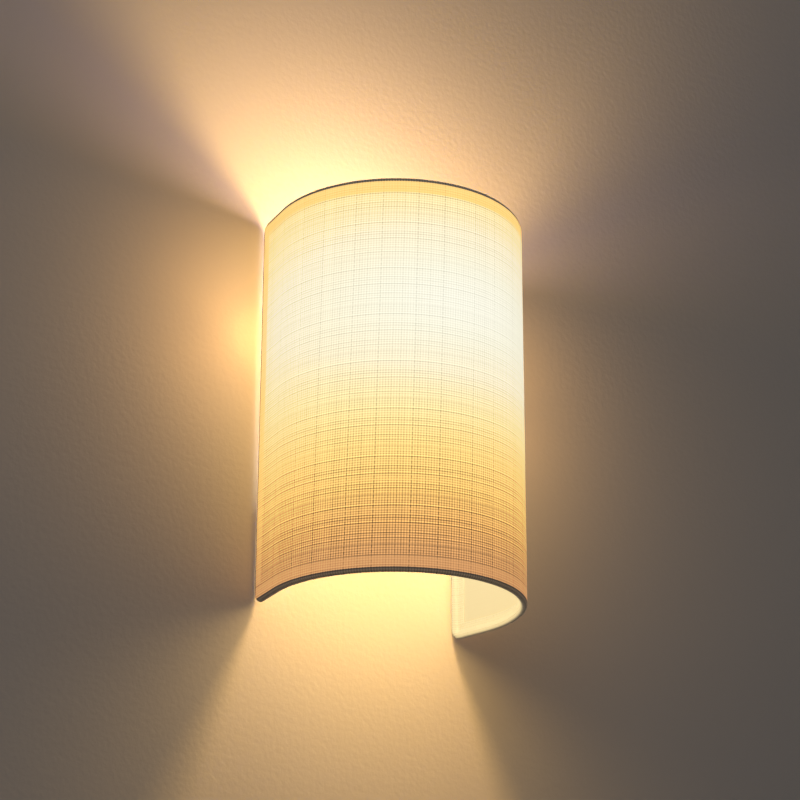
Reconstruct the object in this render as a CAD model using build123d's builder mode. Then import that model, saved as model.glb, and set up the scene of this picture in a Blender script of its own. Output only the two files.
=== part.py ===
"""Fabric shade wall light.

The wall is the plane Y = 0 and the light stands out of it towards -Y. Z points up, X to the right
seen from the front. The origin is the middle of the mounting strap's two wall slots, on the wall.
All sizes are in millimetres.
"""

import os
from math import cos, pi, radians, sin, tan

from build123d import *

# Shade
shade_rear_width = 150.0
shade_depth = 122.0
shade_height = 250.0
flank_lean = 8.6  # degrees that each flank opens out from the wall towards the front
shade_wall_gap = 1.0
shade_below_strap = 125.0
fabric_thickness = 0.6
liner_thickness = 0.6
hem_height = 10.0
edge_wire_diameter = 3.0
corner_bend = 5.0
hem_corner = 3.5
cross_wire_diameter = 2.5
upper_cross_height = 65.0
lower_cross_height = -34.0
crank_inner_half = 37.0
crank_outer_half = 54.0
crank_bend = 5.0

# Wall plate and what hangs on it
plate_width = 64.0
plate_height = 150.0
plate_depth = 18.0
plate_gauge = 1.2
plate_corner = 6.0
plate_edge_round = 3.0
hook_width = 8.0
hook_gauge = 1.2
hook_half_spacing = 20.0
hook_leg = 10.0
hook_lip = 6.0
hook_bend = 1.0

# Mounting strap
strap_width = 20.0
strap_end_margin = 7.0
strap_gauge = 1.6
strap_flat_half = 36.0
strap_joggle = 4.0
strap_corner = 4.0
wall_slot_spacing = 50.8
wall_slot_length = 12.0
wall_slot_width = 4.4
strap_screw_spacing = 94.0
strap_screw_reach = 5.5

# Machine screws, nuts
m4_radius = 2.0
m4_head_radius = 3.9
m4_head_height = 2.6
head_round = 0.6  # share of a screw head's height that is rounded
m4_nut_flats = 7.0
m4_nut_height = 3.2
cap_nut_hex = 4.4
cap_nut_height = 8.0
cap_nut_step = 0.2
cap_nut_crown = 2.9
thread_proud = 1.0
thread_short = 0.2
m3_radius = 1.5
m3_head_radius = 2.6
m3_head_height = 1.8

# Lampholder bracket
bracket_gauge = 2.0
bracket_width = 32.0
bracket_leg = 15.0
bracket_bend = 3.0
bracket_arm_height = -59.0
bracket_screw_half = 11.0
bracket_tip_radius = 12.0
bracket_screw_drop = 7.6

# Lampholder, on the lamp's axis
nipple_radius = 5.0
nipple_bore = 3.5
nipple_above = 5.0
nipple_below = 6.5
nipple_nut_flats = 14.0
nipple_nut_height = 3.5
holder_radius = 20.0
holder_wall = 2.2
holder_neck_radius = 8.0
holder_neck_height = 3.0
holder_neck_flare = 4.0
holder_floor = 4.0
holder_cap_slope = 3.0
holder_cap_round = 2.0
holder_shoulder_drop = 6.0
holder_cap_height = 20.0
holder_height = 50.5
holder_top_radius = 18.0
holder_grip_height = 8.0
holder_step_height = 3.0
holder_rim_round = 1.5
holder_lip = 2.5
contact_block_height = 9.2
contact_block_drop = 4.8
screw_shell_wall = 0.4
screw_shell_height = 23.2
contact_strip = 0.5
contact_rise = 1.6
contact_width = 6.0
block_chamfer = 1.5
block_lead_half = 5.5
block_lead_depth = 4.0
shell_flange = 3.0
lip_cover = 0.2

# Lamp
lamp_length = 110.0
lamp_cap_radius = 13.2
lamp_cap_height = 21.0
lamp_cap_wall = 0.8
lamp_cap_neck = 1.7
lamp_cap_taper = 2.0
contact_pip_radius = 4.2
contact_pip_height = 1.4
contact_pip_round = 1.2
insulator_height = 3.1
insulator_rim = 0.8
globe_radius = 30.0
globe_wall = 1.0
globe_clearance = 4.0
collar_height = 21.5
collar_top_radius = 22.0
collar_wall = 1.5
collar_foot_step = 0.8
collar_flares = [(0.4, 3.0), (3.8, 12.0)]  # (out from the foot, up from the foot)
collar_rim = 3.0
led_board_radius = 20.0
led_board_thickness = 1.6
led_board_ledge = 2.0
led_ring_radius = 13.0
led_count = 10
led_width = 3.0
led_height = 0.7

# Wiring
lead_diameter = 2.2
lead_spread = 2.0
lead_bend_share = 0.45
lead_grip = 2.0
loop_stop = 6.0
loop_slack = [(0.08, -9.0), (0.31, -14.0), (0.56, -13.0), (0.78, -7.0)]  # (share of the way back, rise)
terminal_pitch = 9.4
terminal_count = 3
terminal_length = 15.0
terminal_tower_width = 7.2
terminal_tower_depth = 12.0
terminal_web_depth = 4.0
terminal_axis_depth = 6.9
terminal_screw_half = 4.2
terminal_web_inset = 2.0
terminal_tower_round = 1.2
terminal_screw_sink = 1.0
insert_radius = 2.6
insert_bore = 1.4
insert_length = 13.0
bush_bore = 3.4
bush_radius = 4.4
bush_flange_radius = 5.3
bush_flange = 1.2
earth_height = 34.0
earth_stud_length = 7.0
earth_tag_thickness = 0.8
earth_tag_radius = 4.0
earth_barrel_length = 7.0
earth_neck = 0.5
earth_overlap = 1.0

# Clearances
wire_fit = 0.05
fold_step = 0.05
thread_fit = 0.05
screw_clearance = 0.3
hang_clearance = 0.3
lamp_clearance = 0.4
seat_clearance = 0.3
lead_fit = 0.15

# Places that follow from the sizes above
wire_radius = edge_wire_diameter / 2
cross_radius = cross_wire_diameter / 2
bead_radius = wire_radius + wire_fit + fabric_thickness
shade_bottom = -shade_below_strap
shade_top = shade_bottom + shade_height
upright_x = shade_rear_width / 2 - bead_radius
upright_y = -(shade_wall_gap + bead_radius)
wire_line_depth = shade_depth - bead_radius
flank_angle = radians(flank_lean)
flank_gain = (wire_line_depth + upright_y) * sin(flank_angle)
wire_line_radius = (upright_x * cos(flank_angle) + flank_gain) / (1 + sin(flank_angle))
arc_centre_y = wire_line_radius - wire_line_depth
flank_length = (upright_y - arc_centre_y - wire_line_radius * sin(flank_angle)) / cos(flank_angle)
flank_x = -sin(flank_angle)
flank_y = cos(flank_angle)
lamp_axis_depth = plate_depth + cap_nut_height + globe_clearance + globe_radius
plate_inside = plate_depth - plate_gauge
trough_width = cross_wire_diameter + 2 * hang_clearance
cross_wire_y = -(plate_depth + trough_width / 2)
lead_radius = lead_diameter / 2
cable_height = bracket_arm_height - bracket_screw_drop
block_top = bracket_arm_height + holder_cap_height + contact_block_height - contact_block_drop
lamp_tip_height = block_top + contact_rise
os.makedirs("parts", exist_ok=True)


def save(name, solid):
    """Label a finished piece and write it to its own file."""
    solid.label = name
    export_step(solid, f"parts/{name}.step")


# Shade section: an arc in front, straight flanks tangent to it that close in towards the wall.
# Offsets are measured outwards from the line that the edge wires follow.
def arc_end(offset, side):
    """Where the arc meets the flank."""
    radius = wire_line_radius + offset
    return side * radius * cos(flank_angle), arc_centre_y + radius * sin(flank_angle)


def flank_point(offset, side, reach):
    """A point on the flank, a distance behind the end of the arc."""
    x, y = arc_end(offset, side)
    return x + side * reach * flank_x, y + reach * flank_y


def section_line(offset, setback):
    """The section's outline at one offset, stopping short of the uprights' axes."""
    reach = flank_length - setback
    front = (0, arc_centre_y - wire_line_radius - offset)
    with BuildLine() as line:
        Line(flank_point(offset, -1, reach), arc_end(offset, -1))
        ThreePointArc(arc_end(offset, -1), front, arc_end(offset, 1))
        Line(arc_end(offset, 1), flank_point(offset, 1, reach))
    return line.line


def bent_sheet(outer, inner, setback, bottom, top, corner):
    """A sheet bent to the shade's section, with its four corners rounded."""
    outside = section_line(outer, setback)
    inside = section_line(inner, setback)
    with BuildPart() as sheet:
        with BuildSketch(Plane.XY.offset(bottom)):
            with BuildLine():
                add(outside)
                Line(outside @ 1, inside @ 1)
                add(inside)
                Line(inside @ 0, outside @ 0)
            make_face()
        extrude(amount=top - bottom)
        fillet(sheet.edges().sort_by(SortBy.LENGTH)[:4], radius=corner)
    return sheet.part


def tube(path, radius):
    """A round bar along a path."""
    with BuildPart() as bar:
        with BuildSketch(Plane(origin=path @ 0, z_dir=path % 0)):
            Circle(radius)
        sweep(path=path)
    return bar.part


def elbow(height, turn, side):
    """Three points of the quarter bend that joins an edge wire to an upright."""
    run = corner_bend * sin(pi / 4)
    straight = flank_length - corner_bend
    start = (*flank_point(0, side, straight), height)
    middle = (*flank_point(0, side, straight + run), height + turn * (corner_bend - run))
    end = (*flank_point(0, side, flank_length), height + turn * corner_bend)
    return start, middle, end


def edge_path(height, turn):
    """The line of the top or bottom edge wire. Its ends turn up (1) or down (-1)."""
    left_start, left_middle, left_end = elbow(height, turn, -1)
    right_start, right_middle, right_end = elbow(height, turn, 1)
    left_arc = (*arc_end(0, -1), height)
    right_arc = (*arc_end(0, 1), height)
    with BuildLine() as path:
        ThreePointArc(left_end, left_middle, left_start)
        Line(left_start, left_arc)
        ThreePointArc(left_arc, (0, arc_centre_y - wire_line_radius, height), right_arc)
        Line(right_arc, right_start)
        ThreePointArc(right_start, right_middle, right_end)
    return path.line


def upright(side, radius, bottom, top):
    """A round bar up one rear edge of the shade."""
    with BuildPart() as bar:
        with BuildSketch(Plane.XY.offset(bottom)):
            with Locations((side * upright_x, upright_y)):
                Circle(radius)
        extrude(amount=top - bottom)
    return bar.part


wire_foot = shade_bottom + bead_radius
wire_head = shade_top - bead_radius
upright_foot = wire_foot + corner_bend
upright_head = wire_head - corner_bend
bottom_path = edge_path(wire_foot, 1)
top_path = edge_path(wire_head, -1)
save("top_wire", tube(top_path, wire_radius))
save("bottom_wire", tube(bottom_path, wire_radius))

# The two laminated sheets, inside the ring of wires
fabric_face = bead_radius - fabric_thickness
liner_face = fabric_face - liner_thickness
leaf_face = liner_face - fabric_thickness
sheet_foot = shade_bottom + 2 * bead_radius
sheet_head = shade_top - 2 * bead_radius
sheet_corner = corner_bend - bead_radius
sheet_faces = {"shade_fabric": (bead_radius, fabric_face), "shade_liner": (fabric_face, liner_face)}
for name, (outer, inner) in sheet_faces.items():
    save(name, bent_sheet(outer, inner, bead_radius, sheet_foot, sheet_head, sheet_corner))


def cross_wire(height):
    """Cranked wire from upright to upright, in front of the wall plate."""
    points = [
        (-upright_x, upright_y, height),
        (-crank_outer_half, upright_y, height),
        (-crank_inner_half, cross_wire_y, height),
        (crank_inner_half, cross_wire_y, height),
        (crank_outer_half, upright_y, height),
        (upright_x, upright_y, height),
    ]
    with BuildLine() as path:
        FilletPolyline(*points, radius=crank_bend)
    return tube(path.line, cross_radius)


cross_heights = {"upper_cross_wire": upper_cross_height, "lower_cross_wire": lower_cross_height}
for name, height in cross_heights.items():
    whole = cross_wire(height)
    posts = [upright(side, wire_radius, upright_foot, upright_head) for side in (-1, 1)]
    with BuildPart() as wire:
        add(whole)
        add(posts, mode=Mode.SUBTRACT)
    middle_piece = wire.solids().sort_by(SortBy.VOLUME)[-1]
    save(name, Part([middle_piece]))

for name, side in (("left", -1), ("right", 1)):
    save(f"{name}_upright_wire", upright(side, wire_radius, upright_foot, upright_head))

# Hems: the cloth's margin rolled round the wires, its leaf turned in flat against the liner.
# The roll is flush with the cloth's outer face and stands proud of the liner only.
hem_foot = shade_bottom + hem_height
hem_head = shade_top - hem_height
margin = bent_sheet(bead_radius - fold_step, leaf_face, 0, wire_foot, wire_head, corner_bend)
laminate = bent_sheet(bead_radius, liner_face, bead_radius, sheet_foot, sheet_head, sheet_corner)
window = bent_sheet(liner_face, -bead_radius, hem_height - bead_radius, hem_foot, hem_head, hem_corner)


def hem_band(bottom, top, paths):
    """The hems between two heights, round the edge wires given and the uprights at those heights."""
    bore = wire_radius + wire_fit
    post_foot = max(bottom, upright_foot)
    post_head = min(top, upright_head)
    rolls = [tube(path, bead_radius) for path in paths]
    rolls += [upright(side, bead_radius, post_foot, post_head) for side in (-1, 1)]
    bores = [tube(path, bore) for path in paths]
    bores += [upright(side, bore, post_foot, post_head) for side in (-1, 1)]
    with BuildPart() as band:
        add(margin)
        with BuildSketch(Plane.XY.offset(bottom)):
            Rectangle(2 * shade_rear_width, 3 * shade_depth)
        extrude(amount=top - bottom, mode=Mode.INTERSECT)
        add(laminate, mode=Mode.SUBTRACT)
        add(window, mode=Mode.SUBTRACT)
        add(rolls)
        add(bores, mode=Mode.SUBTRACT)
        for height in cross_heights.values():
            if bottom < height < top:
                with BuildSketch(Plane.YZ.offset(-upright_x)):
                    with Locations((upright_y, height)):
                        Circle(cross_radius + hang_clearance)
                extrude(amount=2 * upright_x, mode=Mode.SUBTRACT)
    return band.part


save("top_hem", hem_band(hem_head, shade_top, [top_path]))
save("bottom_hem", hem_band(shade_bottom, hem_foot, [bottom_path]))
left_side = hem_band(hem_foot, hem_head, []).solids().sort_by(Axis.X)[0]
save("left_side_hem", Part([left_side]))
with BuildPart() as right_side:
    mirror(left_side, about=Plane.YZ)
save("right_side_hem", right_side.part)


# Fasteners
def round_head_screws(seat, places, shank, length, head, head_height):
    """Screws side by side; the seat plane's normal points to their heads."""
    with BuildPart() as group:
        with BuildSketch(seat):
            with Locations(*places):
                Circle(head)
        extrude(amount=head_height)
        fillet(group.edges().group_by(Axis(seat.origin, seat.z_dir))[-1], radius=head_height * head_round)
        with BuildSketch(seat):
            with Locations(*places):
                Circle(shank)
        extrude(amount=-length)
    return group.part


def hex_nuts(seat, places, flats, height, bore):
    """Plain nuts standing on a seat plane, bored through."""
    with BuildPart() as group:
        with BuildSketch(seat):
            with Locations(*places):
                RegularPolygon(flats / 2, 6, major_radius=False)
                Circle(bore, mode=Mode.SUBTRACT)
        extrude(amount=height)
    return group.part


def across(depth):
    """The plane parallel to the wall at a distance in front of it, facing away from the wall."""
    return Plane.XZ.offset(depth)


def towards_wall(depth):
    """The same plane, facing the wall. Its own Y still points up and its X to the left."""
    return Plane(origin=(0, -depth, 0), x_dir=(-1, 0, 0), z_dir=(0, 1, 0))


# Mounting strap: a joggled flat whose ends stand off the wall to clear the screw heads
strap_end = strap_screw_spacing / 2 + strap_end_margin
ramp_end = strap_flat_half + strap_joggle
strap_back = [
    (0, -strap_flat_half),
    (0, strap_flat_half),
    (-strap_joggle, ramp_end),
    (-strap_joggle, strap_end),
    (-strap_joggle - strap_gauge, strap_end),
    (-strap_joggle - strap_gauge, ramp_end),
    (-strap_gauge, strap_flat_half),
    (-strap_gauge, -strap_flat_half),
    (-strap_joggle - strap_gauge, -ramp_end),
    (-strap_joggle - strap_gauge, -strap_end),
    (-strap_joggle, -strap_end),
    (-strap_joggle, -ramp_end),
]
strap_screw_places = [(0, -strap_screw_spacing / 2), (0, strap_screw_spacing / 2)]
block_screw_places = [(-terminal_pitch / 2, 0), (terminal_pitch / 2, 0)]
with BuildPart() as mounting_strap:
    with BuildSketch(Plane.YZ):
        with BuildLine():
            Polyline(*strap_back, close=True)
        make_face()
    extrude(amount=strap_width / 2, both=True)
    end_corners = mounting_strap.edges().filter_by(Axis.Y)
    fillet(end_corners, radius=strap_corner)
    with BuildSketch(across(0)):
        with Locations((0, -wall_slot_spacing / 2), (0, wall_slot_spacing / 2)):
            SlotOverall(wall_slot_length, wall_slot_width, rotation=90)
        with Locations(*block_screw_places):
            Circle(m3_radius + thread_fit)
        with Locations(*strap_screw_places):
            Circle(m4_radius + thread_fit)
    extrude(amount=strap_joggle + strap_gauge, mode=Mode.SUBTRACT)
save("mounting_strap", mounting_strap.part)

strap_screws = round_head_screws(
    towards_wall(strap_joggle),
    strap_screw_places,
    m4_radius,
    plate_depth + strap_screw_reach - strap_joggle,
    m4_head_radius,
    m4_head_height,
)
save("strap_screws", strap_screws)

with BuildPart() as cap_nuts:
    with BuildSketch(across(plate_depth)):
        with Locations(*strap_screw_places):
            RegularPolygon(m4_nut_flats / 2, 6, major_radius=False)
    extrude(amount=cap_nut_hex)
    with BuildSketch(across(plate_depth)):
        with Locations(*strap_screw_places):
            Circle(m4_nut_flats / 2 - cap_nut_step)
    extrude(amount=cap_nut_height)
    fillet(cap_nuts.edges().group_by(Axis.Y)[0], radius=cap_nut_crown)
    with BuildSketch(across(plate_depth)):
        with Locations(*strap_screw_places):
            Circle(m4_radius + thread_fit)
    extrude(amount=strap_screw_reach + seat_clearance, mode=Mode.SUBTRACT)
save("cap_nuts", cap_nuts.part)

# Wall plate: a shallow pan open towards the wall
bracket_screw_places = [(-bracket_screw_half, cable_height), (bracket_screw_half, cable_height)]
with BuildPart() as pan_hollow:
    with BuildSketch(across(0)):
        inner_width = plate_width - 2 * plate_gauge
        inner_height = plate_height - 2 * plate_gauge
        RectangleRounded(inner_width, inner_height, plate_corner - plate_gauge)
    extrude(amount=plate_inside)
    fillet(pan_hollow.edges().group_by(Axis.Y)[0], radius=plate_edge_round - plate_gauge)
with BuildPart() as wall_plate:
    with BuildSketch(across(0)):
        RectangleRounded(plate_width, plate_height, plate_corner)
    extrude(amount=plate_depth)
    fillet(wall_plate.edges().group_by(Axis.Y)[0], radius=plate_edge_round)
    add(pan_hollow.part, mode=Mode.SUBTRACT)
    with BuildSketch(across(plate_inside - plate_gauge)):
        with Locations(*strap_screw_places, *bracket_screw_places):
            Circle(m4_radius + screw_clearance)
        with Locations((0, cable_height)):
            Circle(bush_radius)
    extrude(amount=3 * plate_gauge, mode=Mode.SUBTRACT)
save("wall_plate", wall_plate.part)

# Four upturned hooks, each a strip bent to a trough for a cross wire
hook_places = [(side, height) for side in (-1, 1) for height in cross_heights.values()]
with BuildPart() as shade_hooks:
    for side, height in hook_places:
        trough = height - cross_radius - hang_clearance
        face = -plate_depth
        lip = face - trough_width
        with BuildSketch(Plane.YZ.offset(side * hook_half_spacing - hook_width / 2)) as profile:
            with BuildLine():
                Polyline(
                    (face, trough - hook_leg),
                    (face, trough),
                    (lip, trough),
                    (lip, trough + hook_lip),
                    (lip - hook_gauge, trough + hook_lip),
                    (lip - hook_gauge, trough - hook_gauge),
                    (face - hook_gauge, trough - hook_gauge),
                    (face - hook_gauge, trough - hook_leg),
                    close=True,
                )
            make_face()
            rows = profile.vertices().group_by(Axis.Y)
            outer_bend = rows[1].sort_by(Axis.X)[0]
            inner_bend = rows[2].sort_by(Axis.X)[0]
            fillet(outer_bend, radius=hook_bend + hook_gauge)
            fillet(inner_bend, radius=hook_bend)
        extrude(amount=hook_width)
save("shade_hooks", shade_hooks.part)

# Lampholder bracket: a leg under a tapered arm, bent from one strip
leg_middle = bracket_arm_height - bracket_leg / 2
with BuildPart() as holder_bracket:
    with BuildSketch(across(plate_depth)):
        with Locations((0, leg_middle)):
            Rectangle(bracket_width, bracket_leg)
    extrude(amount=bracket_gauge)
    with BuildSketch(Plane.XY.offset(bracket_arm_height)):
        with BuildLine():
            Polyline(
                (-bracket_width / 2, -plate_depth),
                (bracket_width / 2, -plate_depth),
                (bracket_width / 2, -plate_depth - bracket_tip_radius / 2),
                (bracket_tip_radius, -lamp_axis_depth),
                (-bracket_tip_radius, -lamp_axis_depth),
                (-bracket_width / 2, -plate_depth - bracket_tip_radius / 2),
                close=True,
            )
        make_face()
        with Locations((0, -lamp_axis_depth)):
            Circle(bracket_tip_radius)
    extrude(amount=-bracket_gauge)
    bend_edges = holder_bracket.edges().filter_by(Axis.X)
    outer_bend = bend_edges.group_by(Axis.Z)[-1].sort_by(Axis.Y)[-1]
    fillet(outer_bend, radius=bracket_bend)
    leg_corners = holder_bracket.edges().filter_by(Axis.Y).group_by(Axis.Z)[0]
    fillet(leg_corners, radius=bracket_bend)
    with BuildSketch(across(plate_depth)):
        with Locations(*bracket_screw_places):
            Circle(m4_radius + screw_clearance)
        with Locations((0, cable_height)):
            Circle(bush_radius)
    extrude(amount=bracket_gauge, mode=Mode.SUBTRACT)
    with BuildSketch(Plane.XY.offset(bracket_arm_height)):
        with Locations((0, -lamp_axis_depth)):
            Circle(nipple_radius + screw_clearance)
    extrude(amount=-bracket_gauge, mode=Mode.SUBTRACT)
save("holder_bracket", holder_bracket.part)

bracket_screws = round_head_screws(
    across(plate_depth + bracket_gauge),
    bracket_screw_places,
    m4_radius,
    bracket_gauge + plate_gauge + m4_nut_height + thread_proud,
    m4_head_radius,
    m4_head_height,
)
save("bracket_screws", bracket_screws)
bracket_nuts = hex_nuts(
    towards_wall(plate_inside), bracket_screw_places, m4_nut_flats, m4_nut_height, m4_radius + thread_fit
)
save("bracket_nuts", bracket_nuts)

# Cable bush: a snap-in grommet, flanged on both sides of the plate and bracket
bush_back = plate_inside - bush_flange
bush_front = plate_depth + bracket_gauge + bush_flange
with BuildPart() as cable_bush:
    for start, end, radius in (
        (bush_back, plate_inside, bush_flange_radius),
        (plate_inside, bush_front - bush_flange, bush_radius),
        (bush_front - bush_flange, bush_front, bush_flange_radius),
    ):
        with BuildSketch(across(start)):
            with Locations((0, cable_height)):
                Circle(radius)
        extrude(amount=end - start)
    rims = cable_bush.edges().group_by(Axis.Y)
    fillet(rims[0] + rims[-1], radius=bush_flange / 2)
    with BuildSketch(across(bush_back)):
        with Locations((0, cable_height)):
            Circle(bush_bore)
    extrude(amount=bush_front - bush_back, mode=Mode.SUBTRACT)
save("cable_bush", cable_bush.part)

# Terminal block: three towers on a web, each with a brass insert and two screws
tower_places = [(index - (terminal_count - 1) / 2) * terminal_pitch for index in range(terminal_count)]
block_front = strap_gauge + terminal_tower_depth
terminal_axis = strap_gauge + terminal_axis_depth
terminal_screw_places = [(x, z) for x in tower_places for z in (-terminal_screw_half, terminal_screw_half)]
insert_places = [(x, -terminal_axis) for x in tower_places]
with BuildPart() as terminal_block:
    with BuildSketch(across(strap_gauge)):
        Rectangle(terminal_count * terminal_pitch - terminal_web_inset, terminal_length)
    extrude(amount=terminal_web_depth)
    with BuildSketch(across(strap_gauge)):
        with Locations(*[(x, 0) for x in tower_places]):
            Rectangle(terminal_tower_width, terminal_length)
    extrude(amount=terminal_tower_depth)
    fillet(terminal_block.edges().filter_by(Axis.Z).group_by(Axis.Y)[0], radius=terminal_tower_round)
    with BuildSketch(Plane.XY.offset(-terminal_length / 2)):
        with Locations(*insert_places):
            Circle(insert_radius + wire_fit)
    extrude(amount=terminal_length, mode=Mode.SUBTRACT)
    with BuildSketch(across(terminal_axis)):
        with Locations(*terminal_screw_places):
            Circle(m3_radius + screw_clearance)
    extrude(amount=terminal_tower_depth, mode=Mode.SUBTRACT)
    with BuildSketch(across(strap_gauge)):
        with Locations(*block_screw_places):
            Circle(m3_radius + screw_clearance)
    extrude(amount=terminal_tower_depth, mode=Mode.SUBTRACT)
    with BuildSketch(across(strap_gauge + terminal_web_depth)):
        with Locations(*block_screw_places):
            Circle(m3_head_radius + screw_clearance)
    extrude(amount=terminal_tower_depth, mode=Mode.SUBTRACT)
save("terminal_block", terminal_block.part)

with BuildPart() as terminal_inserts:
    with BuildSketch(Plane.XY.offset(-insert_length / 2)):
        with Locations(*insert_places):
            Circle(insert_radius)
            Circle(insert_bore, mode=Mode.SUBTRACT)
    extrude(amount=insert_length)
    with BuildSketch(across(terminal_axis)):
        with Locations(*terminal_screw_places):
            Circle(m3_radius + thread_fit)
    extrude(amount=insert_radius, mode=Mode.SUBTRACT)
save("terminal_inserts", terminal_inserts.part)

screw_tip = terminal_axis + lead_radius + lead_fit
with BuildPart() as terminal_screws:
    with BuildSketch(across(screw_tip)):
        with Locations(*terminal_screw_places):
            Circle(m3_radius)
    extrude(amount=block_front - terminal_screw_sink - screw_tip)
save("terminal_screws", terminal_screws.part)

block_screws = round_head_screws(
    across(strap_gauge + terminal_web_depth),
    block_screw_places,
    m3_radius,
    terminal_web_depth + strap_gauge - thread_short,
    m3_head_radius,
    m3_head_height,
)
save("block_screws", block_screws)

# Earth stud on the plate, with its ring tag and nut
with BuildPart() as earth_stud:
    with BuildSketch(across(plate_inside)):
        with Locations((0, earth_height)):
            Circle(m4_radius)
    extrude(amount=-earth_stud_length)
save("earth_stud", earth_stud.part)

tag_face = plate_inside - earth_tag_thickness
barrel_radius = lead_radius + lead_fit + earth_tag_thickness
barrel_depth = plate_inside - barrel_radius
barrel_top = earth_height - earth_tag_radius - earth_neck
barrel_foot = barrel_top - earth_barrel_length
with BuildPart() as earth_tag:
    with BuildSketch(across(tag_face)):
        with Locations((0, earth_height)):
            Circle(earth_tag_radius)
        with Locations((0, (earth_height + barrel_top) / 2 - earth_overlap)):
            Rectangle(2 * lead_radius, earth_height - barrel_top + 2 * earth_overlap)
        with Locations((0, earth_height)):
            Circle(m4_radius + screw_clearance, mode=Mode.SUBTRACT)
    extrude(amount=earth_tag_thickness)
    with BuildSketch(Plane.XY.offset(barrel_foot)):
        with Locations((0, -barrel_depth)):
            Circle(barrel_radius)
    extrude(amount=earth_barrel_length)
    with BuildSketch(Plane.XY.offset(barrel_foot)):
        with Locations((0, -barrel_depth)):
            Circle(lead_radius + lead_fit)
    extrude(amount=earth_barrel_length + 2 * earth_overlap, mode=Mode.SUBTRACT)
save("earth_tag", earth_tag.part)
earth_nut = hex_nuts(
    towards_wall(tag_face), [(0, earth_height)], m4_nut_flats, m4_nut_height, m4_radius + thread_fit
)
save("earth_nut", earth_nut)


# Leads: straight runs joined by tangent arcs
def lead(name, points):
    """A round lead whose arcs are as large as the shorter run beside each corner allows."""
    corners = [Vector(*point) for point in points]
    radii = []
    for before, corner, after in zip(corners, corners[1:], corners[2:]):
        arriving = corner - before
        leaving = after - corner
        half_turn = radians(arriving.get_angle(leaving)) / 2
        radii.append(lead_bend_share * min(arriving.length, leaving.length) / tan(half_turn))
    with BuildLine() as path:
        FilletPolyline(*corners, radius=radii)
    save(name, tube(path.line, lead_radius))


block_bottom = block_top - contact_block_height
lead_top = block_bottom + lead_grip
loop_span = lamp_axis_depth - plate_depth - loop_stop
for name, side in (("live_lead", -1), ("neutral_lead", 1)):
    near = side * lead_spread
    way = side * terminal_pitch
    lead(
        name,
        [
            (side * block_lead_half, -lamp_axis_depth, lead_top),
            (side * block_lead_half, -lamp_axis_depth, block_bottom - lead_grip),
            (near, -lamp_axis_depth, bracket_arm_height + nipple_above + 2.5),
            (near, -lamp_axis_depth, cable_height),
            *[(near, loop_span * share - lamp_axis_depth, cable_height + rise) for share, rise in loop_slack],
            (near, -plate_depth - loop_stop, cable_height),
            (near, -bush_back + 1.5, cable_height),
            (side * 5.0, -9.5, cable_height + 6.5),
            (side * 8.0, -9.0, cable_height + 16.0),
            (way, -9.5, cable_height + 28.0),
            (way, -terminal_axis, -terminal_length / 2 - 14.0),
            (way, -terminal_axis, -terminal_screw_half + lead_grip),
        ],
    )
lead(
    "earth_lead",
    [
        (0, -terminal_axis, terminal_screw_half - lead_grip),
        (0, -terminal_axis, terminal_length / 2 + lead_grip),
        (0, -barrel_depth, barrel_foot - 4.0),
        (0, -barrel_depth, barrel_top - lead_grip),
    ],
)

# Threaded tube and nut that carry the lampholder
lamp_axis = Axis((0, -lamp_axis_depth, 0), (0, 0, 1))
with BuildPart() as threaded_nipple:
    with BuildSketch(Plane.XY.offset(bracket_arm_height - bracket_gauge - nipple_below)):
        with Locations((0, -lamp_axis_depth)):
            Circle(nipple_radius)
            Circle(nipple_bore, mode=Mode.SUBTRACT)
    extrude(amount=nipple_below + bracket_gauge + nipple_above)
save("threaded_nipple", threaded_nipple.part)
nipple_nut = hex_nuts(
    Plane.XY.offset(bracket_arm_height - bracket_gauge - nipple_nut_height),
    [(0, -lamp_axis_depth)],
    nipple_nut_flats,
    nipple_nut_height,
    nipple_radius + thread_fit,
)
save("nipple_nut", nipple_nut)


def turned(name, points):
    """A piece of revolution about the lamp's axis from its half section in (radius, height)."""
    with BuildPart() as body:
        with BuildSketch(across(lamp_axis_depth)):
            with BuildLine():
                Polyline(*points, close=True)
            make_face()
        revolve(axis=lamp_axis)
    save(name, body.part)


# Lampholder: a cap on the threaded tube, a sleeve above it, an insulating block with the contacts
seat = bracket_arm_height
cap_rim = seat + holder_cap_height
neck_top = seat + holder_neck_height
holder_top = seat + holder_height
shoulder = cap_rim - holder_shoulder_drop
cavity = holder_radius - holder_wall
turned(
    "holder_cap",
    [
        (nipple_radius + thread_fit, seat),
        (holder_neck_radius, seat),
        (holder_neck_radius, neck_top),
        (holder_neck_radius + holder_neck_flare, neck_top + holder_cap_slope),
        (holder_radius - holder_cap_round, shoulder - holder_cap_slope),
        (holder_radius, shoulder),
        (holder_radius, cap_rim),
        (cavity, cap_rim),
        (cavity, shoulder + holder_cap_round / 2),
        (cavity - holder_cap_round / 2, shoulder - holder_cap_round / 2),
        (holder_neck_radius + holder_cap_round, neck_top + holder_floor),
        (nipple_radius + thread_fit, neck_top + holder_floor),
    ],
)
shell_inner = lamp_cap_radius + lamp_clearance
shell_outer = shell_inner + screw_shell_wall
block_radius = cavity - seat_clearance
sleeve_floor = block_top + seat_clearance
turned(
    "holder_sleeve",
    [
        (cavity, cap_rim),
        (holder_radius, cap_rim),
        (holder_radius, cap_rim + holder_grip_height),
        (holder_top_radius, cap_rim + holder_grip_height + holder_step_height),
        (holder_top_radius, holder_top - holder_rim_round),
        (holder_top_radius - holder_rim_round, holder_top),
        (shell_outer - lip_cover, holder_top),
        (shell_outer - lip_cover, holder_top - holder_lip),
        (shell_outer + seat_clearance, holder_top - holder_lip),
        (shell_outer + seat_clearance, sleeve_floor),
        (cavity, sleeve_floor),
    ],
)
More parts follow.
